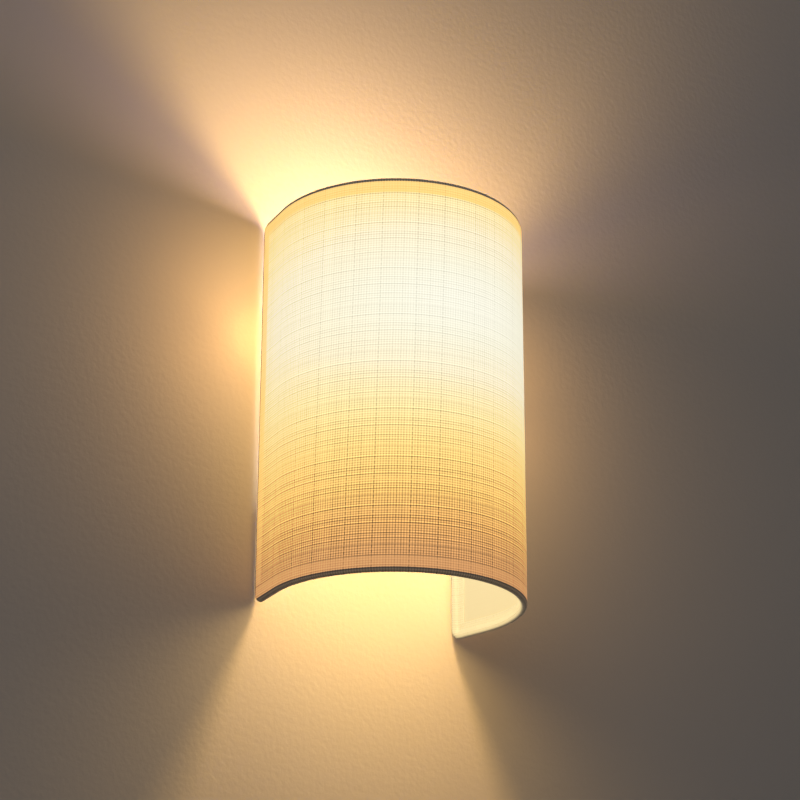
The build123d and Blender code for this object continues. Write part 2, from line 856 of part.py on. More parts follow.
with BuildPart() as contact_block:
    with BuildSketch(Plane.XY.offset(block_bottom)):
        with Locations((0, -lamp_axis_depth)):
            Circle(block_radius)
    extrude(amount=contact_block_height)
    chamfer(contact_block.edges().group_by(Axis.Z)[0], length=block_chamfer)
    with BuildSketch(Plane.XY.offset(block_bottom)):
        with Locations((-block_lead_half, -lamp_axis_depth), (block_lead_half, -lamp_axis_depth)):
            Circle(lead_radius + lead_fit)
    extrude(amount=block_lead_depth, mode=Mode.SUBTRACT)
save("contact_block", contact_block.part)

turned(
    "screw_shell",
    [
        (shell_inner - shell_flange, block_top),
        (shell_outer, block_top),
        (shell_outer, block_top + screw_shell_height - seat_clearance),
        (shell_inner, block_top + screw_shell_height - seat_clearance),
        (shell_inner, block_top + screw_shell_wall),
        (shell_inner - shell_flange, block_top + screw_shell_wall),
    ],
)
leaf_top = lamp_tip_height - seat_clearance
with BuildPart() as centre_contact:
    with BuildSketch(across(lamp_axis_depth)):
        with BuildLine():
            Polyline(
                (-9.0, block_top),
                (-3.0, block_top),
                (-2.0, leaf_top - contact_strip),
                (3.5, leaf_top - contact_strip),
                (5.5, leaf_top - 2 * contact_strip),
                (5.8, leaf_top - contact_strip * 1.2),
                (3.7, leaf_top),
                (-2.4, leaf_top),
                (-3.5, block_top + contact_strip),
                (-9.0, block_top + contact_strip),
                close=True,
            )
        make_face()
    extrude(amount=contact_width / 2, both=True)
save("centre_contact", centre_contact.part)

# Lamp: screw cap with its insulator and end contact, collar, globe, and the board of chips inside
tip = lamp_tip_height
pip_top = tip + contact_pip_height
cap_foot = pip_top + insulator_height
cap_top = cap_foot + lamp_cap_height
collar_top = cap_top + collar_height
globe_top = tip + lamp_length
globe_centre = globe_top - globe_radius
cap_neck = lamp_cap_radius - lamp_cap_neck
turned(
    "contact_pip",
    [
        (0, tip),
        (contact_pip_radius - contact_pip_round, tip),
        (contact_pip_radius, tip + contact_pip_height / 2),
        (contact_pip_radius, pip_top),
        (0, pip_top),
    ],
)
turned(
    "bulb_insulator",
    [
        (0, pip_top),
        (contact_pip_radius + insulator_rim, pip_top),
        (cap_neck, cap_foot),
        (0, cap_foot),
    ],
)
turned(
    "bulb_cap",
    [
        (0, cap_foot),
        (cap_neck, cap_foot),
        (lamp_cap_radius, cap_foot + lamp_cap_taper),
        (lamp_cap_radius, cap_top),
        (lamp_cap_radius - lamp_cap_wall, cap_top),
        (lamp_cap_radius - lamp_cap_wall, cap_foot + lamp_cap_taper + lamp_cap_wall / 2),
        (cap_neck - lamp_cap_wall / 2, cap_foot + lamp_cap_wall),
        (0, cap_foot + lamp_cap_wall),
    ],
)
board_top = collar_top
board_foot = board_top - led_board_thickness
collar_foot_radius = lamp_cap_radius + collar_foot_step
flares = [(collar_foot_radius + out, cap_top + up) for out, up in collar_flares]
turned(
    "bulb_collar",
    [
        (collar_foot_radius - collar_wall, cap_top),
        (collar_foot_radius, cap_top),
        *flares,
        (collar_top_radius - collar_wall / 2, collar_top - collar_rim),
        (collar_top_radius, collar_top),
        (led_board_radius + seat_clearance, collar_top),
        (led_board_radius + seat_clearance, board_foot),
        (led_board_radius - led_board_ledge, board_foot),
        *[(radius - collar_wall, height) for radius, height in reversed(flares)],
    ],
)

globe_inner = globe_radius - globe_wall
with BuildPart() as bulb_globe:
    with BuildSketch(across(lamp_axis_depth)):
        with BuildLine():
            TangentArc((globe_radius, globe_centre), (collar_top_radius, collar_top), tangent=(0, -1))
            CenterArc((0, globe_centre), globe_radius, 0, 90)
            Line((0, globe_top), (0, globe_top - globe_wall))
            CenterArc((0, globe_centre), globe_inner, 0, 90)
            TangentArc(
                (globe_inner, globe_centre), (collar_top_radius - globe_wall, collar_top), tangent=(0, -1)
            )
            Line((collar_top_radius - globe_wall, collar_top), (collar_top_radius, collar_top))
        make_face()
    revolve(axis=lamp_axis)
save("bulb_globe", bulb_globe.part)

with BuildPart() as led_board:
    with BuildSketch(Plane.XY.offset(board_foot)):
        with Locations((0, -lamp_axis_depth)):
            Circle(led_board_radius)
    extrude(amount=led_board_thickness)
save("led_board", led_board.part)

with BuildPart() as led_chips:
    with BuildSketch(Plane.XY.offset(board_top)):
        with Locations((0, -lamp_axis_depth)):
            with PolarLocations(led_ring_radius, led_count):
                Rectangle(led_width, led_width)
    extrude(amount=led_height)
save("led_chips", led_chips.part)
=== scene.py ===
"""Studio scene of the fabric shade wall light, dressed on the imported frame.

Metres, Z up. The wall is the plane Y = 0, and the room lies at negative Y.
"""

from math import acos, atan2, cos, hypot, pi, radians, sin, sqrt

import bpy
from mathutils import Matrix, Vector, noise


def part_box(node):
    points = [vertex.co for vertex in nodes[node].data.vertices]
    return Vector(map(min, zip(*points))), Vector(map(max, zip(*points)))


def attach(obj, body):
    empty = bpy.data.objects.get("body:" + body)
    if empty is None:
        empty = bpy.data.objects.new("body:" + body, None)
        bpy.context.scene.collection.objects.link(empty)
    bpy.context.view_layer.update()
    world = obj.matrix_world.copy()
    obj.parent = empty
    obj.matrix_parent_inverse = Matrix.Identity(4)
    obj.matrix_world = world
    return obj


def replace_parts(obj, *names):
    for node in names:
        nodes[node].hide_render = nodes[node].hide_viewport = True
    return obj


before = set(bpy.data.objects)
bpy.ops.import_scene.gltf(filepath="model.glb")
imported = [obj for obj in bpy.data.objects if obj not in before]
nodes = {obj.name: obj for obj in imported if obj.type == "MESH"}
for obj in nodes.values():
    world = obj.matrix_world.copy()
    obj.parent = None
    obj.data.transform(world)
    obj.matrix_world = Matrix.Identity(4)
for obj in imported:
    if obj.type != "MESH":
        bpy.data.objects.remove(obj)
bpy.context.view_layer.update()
mm = 0.001

# ---------------------------------------------------------------- places read from the frame
head_low, head_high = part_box("top_hem")
foot_low, foot_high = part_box("bottom_hem")
post_low, post_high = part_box("right_upright_wire")
globe_low, globe_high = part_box("bulb_globe")
cap_low, cap_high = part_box("bulb_cap")
shade_bottom = foot_low.z
shade_top = head_high.z
shade_height = shade_top - shade_bottom
hem_height = foot_high.z - foot_low.z
upright_x = (post_low.x + post_high.x) / 2
upright_y = (post_low.y + post_high.y) / 2
bead_radius = head_high.y - upright_y
front_radius = head_high.x
arc_y = head_low.y + front_radius
globe_radius = (globe_high.x - globe_low.x) / 2
lamp_y = (globe_low.y + globe_high.y) / 2
glow_centre = Vector((0, lamp_y, globe_high.z - globe_radius))

# ---------------------------------------------------------------- shade section
cloth_thickness = 0.6 * mm
corner_bend = 5 * mm
line_radius = front_radius - bead_radius
from_centre = hypot(upright_x, upright_y - arc_y)
flank = sqrt(from_centre**2 - line_radius**2)
lean = atan2(upright_y - arc_y, upright_x) - acos(line_radius / from_centre)
arc_angle = pi / 2 + lean
arc_half = line_radius * arc_angle
half_width = arc_half + flank
line_bottom = shade_bottom + bead_radius
line_top = shade_top - bead_radius
fabric_face = bead_radius - cloth_thickness
liner_face = fabric_face - cloth_thickness
leaf_face = liner_face - cloth_thickness


def on_section(along, offset, height):
    """The point at a distance along the edge wires' line from the front, moved out by an offset."""
    side = 1 if along >= 0 else -1
    reach = abs(along)
    angle = min(reach / line_radius, arc_angle)
    radius = line_radius + offset
    x = radius * sin(angle)
    y = arc_y - radius * cos(angle)
    past = max(reach - arc_half, 0)
    return Vector((side * (x + past * cos(angle)), y + past * sin(angle), height))


# ---------------------------------------------------------------- mesh helpers
def make_piece(name, points, faces, body, slot, material, coordinates=None):
    """A mesh piece that rides on a CAD body. The coordinates become its UV map."""
    mesh = bpy.data.meshes.new(name)
    mesh.from_pydata([tuple(p) for p in points], [], faces)
    mesh.update()
    if coordinates:
        layer = mesh.uv_layers.new(name="cloth")
        for loop in mesh.loops:
            layer.data[loop.index].uv = coordinates[loop.vertex_index]
    for polygon in mesh.polygons:
        polygon.use_smooth = True
    piece = bpy.data.objects.new(name, mesh)
    bpy.context.scene.collection.objects.link(piece)
    piece.data.materials.append(material)
    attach(piece, body)
    return piece


def grid_faces(rows, columns, start=0, close_rows=False, close_columns=False, flip=False):
    """Quads over a grid of points stored row by row."""
    faces = []
    for row in range(rows if close_rows else rows - 1):
        below = start + row * columns
        above = start + ((row + 1) % rows) * columns
        for column in range(columns if close_columns else columns - 1):
            beside = (column + 1) % columns
            quad = (below + column, below + beside, above + beside, above + column)
            faces.append(quad[::-1] if flip else quad)
    return faces


# ---------------------------------------------------------------- material helper
class Shader:
    """One material's node tree. Its methods take sockets or constants and return sockets."""

    def __init__(self, name):
        self.material = bpy.data.materials.new(name)
        self.material.use_nodes = True
        self.tree = self.material.node_tree
        self.tree.nodes.clear()
        self.output = self.tree.nodes.new("ShaderNodeOutputMaterial")

    def put(self, socket, value):
        if isinstance(value, bpy.types.NodeSocket):
            self.tree.links.new(value, socket)
        else:
            socket.default_value = value

    def add(self, kind, inputs=None, **settings):
        node = self.tree.nodes.new(kind)
        for name, value in settings.items():
            setattr(node, name, value)
        for name, value in (inputs or {}).items():
            self.put(node.inputs[name], value)
        return node

    def math(self, operation, *values, clamp=False):
        node = self.add("ShaderNodeMath", operation=operation, use_clamp=clamp)
        for socket, value in zip(node.inputs, values):
            self.put(socket, value)
        return node.outputs[0]

    def vector(self, operation, *values):
        node = self.add("ShaderNodeVectorMath", operation=operation)
        for socket, value in zip(node.inputs, values):
            self.put(socket, value)
        result = "Value" if operation in ("DOT_PRODUCT", "LENGTH") else "Vector"
        return node.outputs[result]

    def mix(self, factor, first, second, blend="MIX"):
        node = self.add("ShaderNodeMix", data_type="RGBA", blend_type=blend)
        for index, value in ((0, factor), (6, first), (7, second)):
            self.put(node.inputs[index], value)
        return node.outputs[2]

    def ramp(self, value, stops):
        node = self.add("ShaderNodeValToRGB", {"Fac": value})
        elements = node.color_ramp.elements
        while len(elements) < len(stops):
            elements.new(1)
        for element, (place, colour) in zip(elements, stops):
            element.position = place
            element.color = colour
        return node.outputs["Color"]

    def noise(self, coordinates, scale, detail=2):
        inputs = {"Vector": coordinates, "Scale": scale, "Detail": detail}
        return self.add("ShaderNodeTexNoise", inputs).outputs["Fac"]

    def object_coordinates(self):
        return self.add("ShaderNodeTexCoord").outputs["Object"]

    def stretched(self, coordinates, scale):
        return self.vector("MULTIPLY", coordinates, scale)

    def bump(self, height, distance, strength=1):
        inputs = {"Height": height, "Distance": distance, "Strength": strength}
        return self.add("ShaderNodeBump", inputs).outputs["Normal"]

    def finish(self, **inputs):
        """Ends the tree in a principled surface. Each input is a socket's label in lower case."""
        labels = (name.replace("_", " ").title().replace("Ior", "IOR") for name in inputs)
        shader = self.add("ShaderNodeBsdfPrincipled", dict(zip(labels, inputs.values())))
        self.tree.links.new(shader.outputs[0], self.output.inputs["Surface"])
        return self.material


# ---------------------------------------------------------------- glow of the lamp on the shade
# The place on each ramp is the share of the light that falls on the nearest cloth, from a small
# lamp in the middle of the globe. lit_cloth is seen from outside, doubled_cloth is what a second
# layer leaves of it, and lit_lining is seen from inside.
nearest_cloth = 62 * mm
lit_cloth = [
    (0.040, (0.62, 0.27, 0.080, 1)),
    (0.050, (0.72, 0.33, 0.090, 1)),
    (0.064, (0.86, 0.42, 0.095, 1)),
    (0.093, (1.00, 0.57, 0.130, 1)),
    (0.156, (0.98, 0.65, 0.190, 1)),
    (0.278, (0.89, 0.70, 0.310, 1)),
    (0.506, (0.81, 0.715, 0.490, 1)),
    (0.837, (0.76, 0.73, 0.580, 1)),
    (1.000, (0.76, 0.74, 0.620, 1)),
]
doubled_cloth = [
    (0.05, (0.86, 0.86, 0.86, 1)),
    (0.30, (0.98, 0.77, 0.45, 1)),
]
lit_lining = [
    (0.03, (0.59, 0.45, 0.21, 1)),
    (0.15, (0.57, 0.47, 0.25, 1)),
    (0.40, (0.48, 0.43, 0.28, 1)),
    (1.00, (0.38, 0.36, 0.26, 1)),
]
cloth_glow = 1.3


def lamp_share(shader):
    """(share, inward): the lamp's light on the surface, and how far it faces the lamp's axis."""
    away = shader.vector("SUBTRACT", shader.object_coordinates(), tuple(glow_centre))
    normal = shader.add("ShaderNodeNewGeometry").outputs["Normal"]
    facing = shader.vector("DOT_PRODUCT", away, normal)
    level = shader.vector("NORMALIZE", shader.stretched(away, (-1, -1, 0)))
    distance = shader.vector("LENGTH", away)
    spread = shader.math("DIVIDE", nearest_cloth**2, shader.math("POWER", distance, 3))
    share = shader.math("MULTIPLY", shader.math("ABSOLUTE", facing), spread)
    return share, shader.vector("DOT_PRODUCT", level, normal)


# ---------------------------------------------------------------- weave
# Weft threads run across and warp threads upright. Places are in millimetres on the cloth: along
# from the front's middle, and up from the shade's foot. Noise scales are in cells to a metre.
weft_period = 30.03
weft_start = 9.5
weft_pitch = weft_period / 20
warp_period = 37.5
warp_start = -22.9
warp_pitch = warp_period / 23
warp_lean = 0.024
# Dark lines in each period, as (offset, depth, half width) in millimetres.
weft_lines = [
    (0.0, 1.0, 0.45),
    (19.6, 1.0, 0.45),
    (6.7, 0.5, 0.5),
    (10.5, 0.6, 0.5),
    (13.4, 0.55, 0.5),
    (22.6, 0.5, 0.5),
    (24.1, 0.55, 0.5),
]
# The same with the offset in threads.
warp_threads = [
    (0, 1.0, 0.55),
    (13, 1.0, 0.55),
    (5, 0.4, 0.5),
    (8, 0.5, 0.5),
    (10, 0.3, 0.5),
    (15, 0.4, 0.5),
    (18, 0.5, 0.5),
]
warp_lines = [(threads * warp_pitch, depth, width) for threads, depth, width in warp_threads]
weft_depth = 0.62
warp_depth = 0.50
fine_depth = 0.46
slub_depth = 0.15
ridge_light = 0.26
ridge_shift = 0.85
ridge_relief = 1.2
slub_relief = 0.6
wander = 0.5
wander_scale = 30
slub_scale = 850
slub_length_scale = 70
weft_band_scale = 150
warp_band_scale = 140
# (gain, base) of the uneven strength of the fine threads, the dotted warp lines and the weft lines.
band_strength = (1.2, 0.3)
dot_strength = (1.2, 0.15)
weft_strength = (1.0, 0.5)


def stripe(shader, place, offset, period, width):
    """A soft line of full strength at every period, no wider than twice the width."""
    turns = shader.math("MULTIPLY_ADD", place, 1 / period, 0.5 - offset / period)
    away = shader.math("ABSOLUTE", shader.math("SUBTRACT", shader.math("FRACT", turns), 0.5))
    return shader.math("SUBTRACT", 1, shader.math("DIVIDE", away, width / period), clamp=True)


def thread_wave(shader, place, pitch):
    """A cosine wave from 0 to 1, one turn to a pitch."""
    wave = shader.math("COSINE", shader.math("MULTIPLY", place, 2 * pi / pitch))
    return shader.math("MULTIPLY_ADD", wave, 0.5, 0.5)


def lines(shader, place, start, period, rows, shift=0.0):
    """The sum of several rows of stripes, each given as (offset, depth, half width)."""
    total = 0.0
    for offset, depth, width in rows:
        row = stripe(shader, place, start + offset + shift, period, width)
        total = shader.math("MULTIPLY_ADD", row, depth, total)
    return total


def uneven(shader, value, cloud, strength):
    """A value times a cloud of noise, brought to a strength given as (gain, base)."""
    return shader.math("MULTIPLY", value, shader.math("MULTIPLY_ADD", cloud, *strength))


def thread_gaps(shader, place, start, pitch, cloud):
    """The dark gaps between the fine threads."""
    wave = thread_wave(shader, shader.math("SUBTRACT", place, start), pitch)
    return uneven(shader, shader.math("POWER", wave, 2), cloud, band_strength)


def weave(shader):
    """(dark, height, along, up): how far the threads hold back light, the relief, and the place."""
    place = shader.add("ShaderNodeUVMap", uv_map="cloth").outputs["UV"]
    in_mm = shader.stretched(place, (1 / mm, 1 / mm, 0))
    split = shader.add("ShaderNodeSeparateXYZ", {"Vector": in_mm})
    straight_along, straight_up = split.outputs["X"], split.outputs["Y"]

    def cloud(along_scale, up_scale, depth_scale, detail=1):
        scale = (along_scale, up_scale, depth_scale)
        return shader.noise(shader.stretched(place, scale), 1, detail)

    drift = shader.noise(shader.stretched(place, (wander_scale, wander_scale, wander_scale)), 1)
    drift = shader.math("MULTIPLY_ADD", drift, wander, -wander / 2)
    leaning = shader.math("MULTIPLY_ADD", straight_up, -warp_lean, straight_along)
    along = shader.math("ADD", leaning, drift)
    up = shader.math("ADD", straight_up, drift)
    slub_weft = cloud(slub_length_scale, slub_scale, 1, 2)
    slub_warp = cloud(slub_scale, slub_length_scale, 1, 2)
    slubs = shader.math("SUBTRACT", shader.math("ADD", slub_weft, slub_warp), 1)
    fine_warp = thread_gaps(shader, along, warp_start, warp_pitch, cloud(0, weft_band_scale, 0))
    fine_weft = thread_gaps(shader, up, weft_start, weft_pitch, cloud(warp_band_scale, 0, 0))
    warp = lines(shader, along, warp_start, warp_period, warp_lines)
    warp = uneven(shader, warp, thread_wave(shader, up, 2 * weft_pitch), dot_strength)
    weft = lines(shader, up, weft_start, weft_period, weft_lines)
    weft = uneven(shader, weft, slub_weft, weft_strength)
    ridge = lines(shader, up, weft_start, weft_period, weft_lines, shift=ridge_shift)
    dark = shader.math("MULTIPLY", weft, weft_depth)
    for part, depth in (
        (warp, warp_depth),
        (fine_warp, fine_depth),
        (fine_weft, fine_depth),
        (ridge, -ridge_light),
        (slubs, slub_depth),
    ):
        dark = shader.math("MULTIPLY_ADD", part, depth, dark)
    slub_height = shader.math("MULTIPLY", slubs, slub_relief)
    height = shader.math("MULTIPLY_ADD", ridge, ridge_relief, slub_height)
    threads = shader.math("ADD", fine_warp, fine_weft)
    height = shader.math("SUBTRACT", height, shader.math("ADD", threads, warp))
    return dark, height, straight_along, straight_up


def hem_mask(shader, along, up):
    """1 where the turned margin lies behind the cloth."""
    hem_mm = hem_height / mm
    in_foot = shader.math("LESS_THAN", up, hem_mm)
    in_head = shader.math("GREATER_THAN", up, shade_height / mm - hem_mm)
    side = (half_width + bead_radius) / mm - hem_mm
    in_side = shader.math("GREATER_THAN", shader.math("ABSOLUTE", along), side)
    return shader.math("MAXIMUM", shader.math("MAXIMUM", in_foot, in_head), in_side)


def scaled(shader, colour, factor):
    """A colour times a factor that varies over the surface."""
    node = shader.add("ShaderNodeVectorMath", operation="SCALE")
    shader.put(node.inputs["Vector"], colour)
    shader.put(node.inputs["Scale"], factor)
    return node.outputs["Vector"]


# How much of the weave the hems and the lit side of the rolled cloth lose.
hem_smoothing = 0.6
lit_smoothing = 0.92
# (gain, base) of the lit side over how far the rolled cloth faces the lamp's axis.
lit_side = (1.4, -0.1)
rolled_glow = (0.05, 0.045, 0.06, 1)
# A dark line painted along the edge of the turned margin behind the cloth, in its colour and in its
# glow: painted shade of the margin's edge.
margin_edge_shade_width = 0.45
margin_edge_shade_depth = 0.5
# The weave stands out more where less light comes through, down to a least share.
even_share = 0.14
least_share = 0.07
fade_power = 0.75
cloth_relief = 0.15 * mm
lining_relief = 0.01 * mm
print_through = 0.04
lining_gain = 1.03


def cloth_material(name, rolled):
    """Woven cloth lit from behind. Rolled cloth is opaque, and bright where it faces the lamp."""
    shader = Shader(name)
    dark, height, along, up = weave(shader)
    share, inward = lamp_share(shader)
    glow = shader.ramp(share, lit_cloth)
    if rolled:
        glow = shader.mix(1, glow, rolled_glow, "MULTIPLY")
        lit_face = shader.math("MULTIPLY_ADD", inward, *lit_side, clamp=True)
        glow = shader.mix(lit_face, glow, shader.ramp(share, lit_lining))
        kept_weave = shader.math("MULTIPLY_ADD", lit_face, -lit_smoothing, 1)
        dark = shader.math("MULTIPLY", dark, kept_weave)
    else:
        doubled = shader.mix(1, glow, shader.ramp(share, doubled_cloth), "MULTIPLY")
        in_hem = hem_mask(shader, along, up)
        glow = shader.mix(in_hem, glow, doubled)
        kept_weave = shader.math("MULTIPLY_ADD", in_hem, -hem_smoothing, 1)
        dark = shader.math("MULTIPLY", dark, kept_weave)
        # Painted shade: a dark line where the turned margin ends behind the cloth.
        only_once = 3 * shade_height / mm
        margin_edge_shade = stripe(shader, up, hem_height / mm, only_once, margin_edge_shade_width)
        dark = shader.math("MULTIPLY_ADD", margin_edge_shade, margin_edge_shade_depth, dark)
    fade = shader.math("DIVIDE", even_share, shader.math("MAXIMUM", share, least_share))
    fade = shader.math("POWER", fade, fade_power)
    faded = shader.math("MULTIPLY", dark, fade)
    kept_light = shader.math("EXPONENT", shader.math("MULTIPLY", faded, -1))
    cloud = shader.noise(shader.object_coordinates(), 35, 3)
    tint = shader.mix(cloud, (0.60, 0.55, 0.46, 1), (0.66, 0.61, 0.52, 1))
    return shader.finish(
        base_color=scaled(shader, tint, shader.math("EXPONENT", shader.math("MULTIPLY", dark, -1))),
        roughness=0.9,
        specular_ior_level=0.25,
        sheen_weight=0.15,
        sheen_roughness=0.5,
        normal=shader.bump(height, cloth_relief, 0.8),
        emission_color=scaled(shader, glow, kept_light),
        emission_strength=cloth_glow,
    )


def lining_material():
    """Smooth warm white laminate, lit by the lamp, with a faint print-through of the weave."""
    shader = Shader("shade_lining")
    dark, height, _, _ = weave(shader)
    share, _ = lamp_share(shader)
    soft = shader.noise(shader.object_coordinates(), 220, 4)
    marks = shader.math("ADD", dark, soft)
    faint = shader.math("MULTIPLY_ADD", marks, -print_through, lining_gain)
    tint = shader.mix(soft, (0.36, 0.34, 0.30, 1), (0.39, 0.37, 0.33, 1))
    return shader.finish(
        base_color=tint,
        roughness=shader.math("MULTIPLY_ADD", soft, 0.15, 0.5),
        normal=shader.bump(height, lining_relief, 0.5),
        emission_color=scaled(shader, shader.ramp(share, lit_lining), faint),
        emission_strength=cloth_glow,
    )


shade_cloth_material = cloth_material("shade_cloth", rolled=False)
hem_cloth_material = cloth_material("hem_cloth", rolled=True)
lining = lining_material()


# ---------------------------------------------------------------- shade cloth and its lining
panel_columns = 240
panel_rows = 120
panel_margin = 0.4 * mm
face_gap = 0.02 * mm
sheet_wave = 0.12 * mm
wave_scale = 28
wave_layer = 3.0
sharp_angle = radians(50)


def panel(name, outer, inner, reach, bottom, top, slot, material):
    """A closed thin sheet bent to the section, with a slight unevenness that both faces share."""
    points, coordinates = [], []
    for offset in (outer, inner):
        for row in range(panel_rows + 1):
            height = bottom + (top - bottom) * row / panel_rows
            for column in range(panel_columns + 1):
                along = reach * (2 * column / panel_columns - 1)
                spot = (along * wave_scale, height * wave_scale, wave_layer)
                wave = noise.noise(spot) * sheet_wave
                edge = min(reach - abs(along), height - bottom, top - height)
                wave *= min(edge / hem_height, 1)
                points.append(on_section(along, offset + wave, height))
                coordinates.append((along, height - shade_bottom))
    rows, columns = panel_rows + 1, panel_columns + 1
    faces = grid_faces(rows, columns)
    faces += grid_faces(rows, columns, rows * columns, flip=True)
    rim = list(range(columns))
    rim += [row * columns + columns - 1 for row in range(1, rows)]
    rim += [(rows - 1) * columns + column for column in range(columns - 2, -1, -1)]
    rim += [row * columns for row in range(rows - 2, 0, -1)]
    second = rows * columns
    for here, there in zip(rim, rim[1:] + rim[:1]):
        faces.append((there, here, here + second, there + second))
    piece = make_piece(name, points, faces, "shade", slot, material, coordinates)
    piece.data.set_sharp_from_angle(angle=sharp_angle)
    return piece


sheet_reach = half_width - panel_margin
sheet_foot = line_bottom + panel_margin
sheet_head = line_top - panel_margin
shade_cloth = panel(
    "shade_cloth",
    bead_radius,
    fabric_face,
    sheet_reach,
    sheet_foot,
    sheet_head,
    "shade_cloth",
    shade_cloth_material,
)
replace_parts(shade_cloth, "shade_fabric")
shade_lining = panel(
    "shade_lining",
    fabric_face - face_gap,
    liner_face,
    half_width - bead_radius,
    line_bottom + bead_radius,
    line_top - bead_radius,
    "shade_lining",
    lining,
)
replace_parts(shade_lining, "shade_liner")


# ---------------------------------------------------------------- hems rolled round the wires
corner_steps = 8
route_step = 1.6 * mm
roll_steps = 14
pucker_depth = 0.07 * mm
pucker_scale = 160
pucker_layer = 0.15
# Points of the profile up to this one lie on the cloth's outer face and don't pucker.
last_smooth = 6
profile_uv_step = 0.02 * mm


def edge_route():
    """Places round the shade's four edges, unrolled flat, each with its inward direction."""
    right, left = half_width, -half_width
    corners = [
        (right - corner_bend, line_bottom + corner_bend, -pi / 2),
        (right - corner_bend, line_top - corner_bend, 0),
        (left + corner_bend, line_top - corner_bend, pi / 2),
        (left + corner_bend, line_bottom + corner_bend, pi),
    ]
    route = []
    for index, (x, z, start) in enumerate(corners):
        for step in range(corner_steps + 1):
            angle = start + pi / 2 * step / corner_steps
            outward_x, outward_z = cos(angle), sin(angle)
            place = (x + corner_bend * outward_x, z + corner_bend * outward_z)
            route.append((*place, -outward_x, -outward_z))
        end = route[-1]
        next_x, next_z, next_start = corners[(index + 1) % 4]
        target_x = next_x + corner_bend * cos(next_start)
        target_z = next_z + corner_bend * sin(next_start)
        run_x, run_z = target_x - end[0], target_z - end[1]
        steps = round(hypot(run_x, run_z) / route_step)
        for step in range(1, steps):
            share = step / steps
            route.append((end[0] + run_x * share, end[1] + run_z * share, end[2], end[3]))
    return route


def roll_profile():
    """The turned cloth as (inward, outward offset): outer face, round the wire, inner leaf."""
    profile = [(1.5 * mm, bead_radius - 0.05 * mm), (0.5 * mm, bead_radius)]
    for step in range(roll_steps + 1):
        angle = pi / 2 + pi * step / roll_steps
        profile.append((bead_radius * cos(angle), bead_radius * sin(angle)))
    leaf_end = hem_height - bead_radius
    return profile + [
        (1.2 * mm, -bead_radius * 0.86),
        (2.1 * mm, -bead_radius * 0.45),
        (2.9 * mm, leaf_face * 0.6),
        (3.8 * mm, leaf_face),
        (6.0 * mm, leaf_face),
        (leaf_end - 0.3 * mm, leaf_face),
        (leaf_end, leaf_face + 0.2 * mm),
        (leaf_end, liner_face),
    ]


def shade_hem():
    """The cloth's margin, rolled round the wires and turned in on all four edges."""
    route = edge_route()
    profile = roll_profile()
    points, coordinates = [], []
    for along, height, inward_x, inward_z in route:
        for index, (inward, offset) in enumerate(profile):
            spot = (along * pucker_scale, height * pucker_scale, index * pucker_layer)
            pucker = noise.noise(spot) * pucker_depth if index > last_smooth else 0
            x = along + inward_x * inward
            z = height + inward_z * inward
            points.append(on_section(x, offset - pucker, z))
            coordinates.append((x, z - shade_bottom + index * profile_uv_step))
    faces = grid_faces(len(route), len(profile), close_rows=True)
    look = hem_cloth_material
    return make_piece("shade_hem", points, faces, "shade", "hem_cloth", look, coordinates)


hem = shade_hem()
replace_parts(hem, "top_hem", "bottom_hem", "left_side_hem", "right_side_hem")


# ---------------------------------------------------------------- screw threads and weld marks
turned_columns = 96


def turned_piece(name, profile, ridge, body, slot, replaced):
    """A surface turned about the lamp's axis. The ridge is the radius that the thread takes off."""
    points = []
    for radius, height in profile:
        for column in range(turned_columns):
            angle = 2 * pi * column / turned_columns
            reach = radius - ridge(angle, radius, height)
            points.append((reach * cos(angle), lamp_y + reach * sin(angle), height))
    faces = grid_faces(len(profile), turned_columns, close_columns=True)
    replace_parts(make_piece(name, points, faces, body, slot, finishes[slot]), replaced)


def helix(angle, height, start, pitch):
    """From 0 on a thread's crest to 1 in its root."""
    return 0.5 - 0.5 * cos(2 * pi * (height - start) / pitch - angle)


def between(height, low, high, run):
    """1 between two heights, falling to 0 over a run inside each end."""
    return max(0, min(1, (height - low) / run, (high - height) / run))


centre_hole = 0.2 * mm
edison_pitch = 3.629 * mm
edison_depth = 1.1 * mm
edison_run = 1.5 * mm
cap_taper = 2.0 * mm
cap_neck = 1.7 * mm
cap_shank = 4.0 * mm
cap_radius = (cap_high.x - cap_low.x) / 2
cap_rows = 120


def cap_ridge(angle, radius, height):
    """The cap's rolled thread, which runs out at both ends."""
    zone = between(height, cap_low.z + 0.5 * cap_taper, cap_high.z - cap_shank, edison_run)
    return edison_depth * zone * helix(angle, height, cap_low.z, edison_pitch)


cap_profile = [(centre_hole, cap_low.z)]
for row in range(cap_rows + 1):
    height = cap_low.z + (cap_high.z - cap_low.z) * row / cap_rows
    narrowed = cap_neck * max(0, 1 - (height - cap_low.z) / cap_taper)
    cap_profile.append((cap_radius - narrowed, height))
cap_profile.append((centre_hole, cap_high.z))

tube_low, tube_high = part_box("threaded_nipple")
tube_radius = (tube_high.x - tube_low.x) / 2
tube_bore = 3.5 * mm
tube_pitch = 1.0 * mm
tube_depth = 0.4 * mm
tube_chamfer = 0.5 * mm
tube_overrun = 0.2 * mm
tube_least_cut = 0.25
tube_rows = 130


def tube_ridge(angle, radius, height):
    """The tube's cut thread, on its outside only."""
    if radius == tube_bore:
        return 0
    zone = between(height, tube_low.z - tube_overrun, tube_high.z + tube_overrun, tube_chamfer)
    cut = zone * helix(angle, height, tube_low.z, tube_pitch)
    return tube_depth * (tube_least_cut + (1 - tube_least_cut) * cut)


tube_profile = [(tube_bore, tube_low.z)]
for row in range(tube_rows + 1):
    tube_profile.append((tube_radius, tube_low.z + (tube_high.z - tube_low.z) * row / tube_rows))
tube_profile += [(tube_bore, tube_high.z), (tube_bore, tube_low.z)]

# Two spot welds hold each hook's leg to the plate.
hooks_low, hooks_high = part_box("shade_hooks")
plate_low, plate_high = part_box("wall_plate")
hook_gauge = 1.2 * mm
hook_width = 8 * mm
hook_leg = 10 * mm
weld_radius = 1.3 * mm
weld_rise = 0.25 * mm
weld_spacing = 4.4 * mm
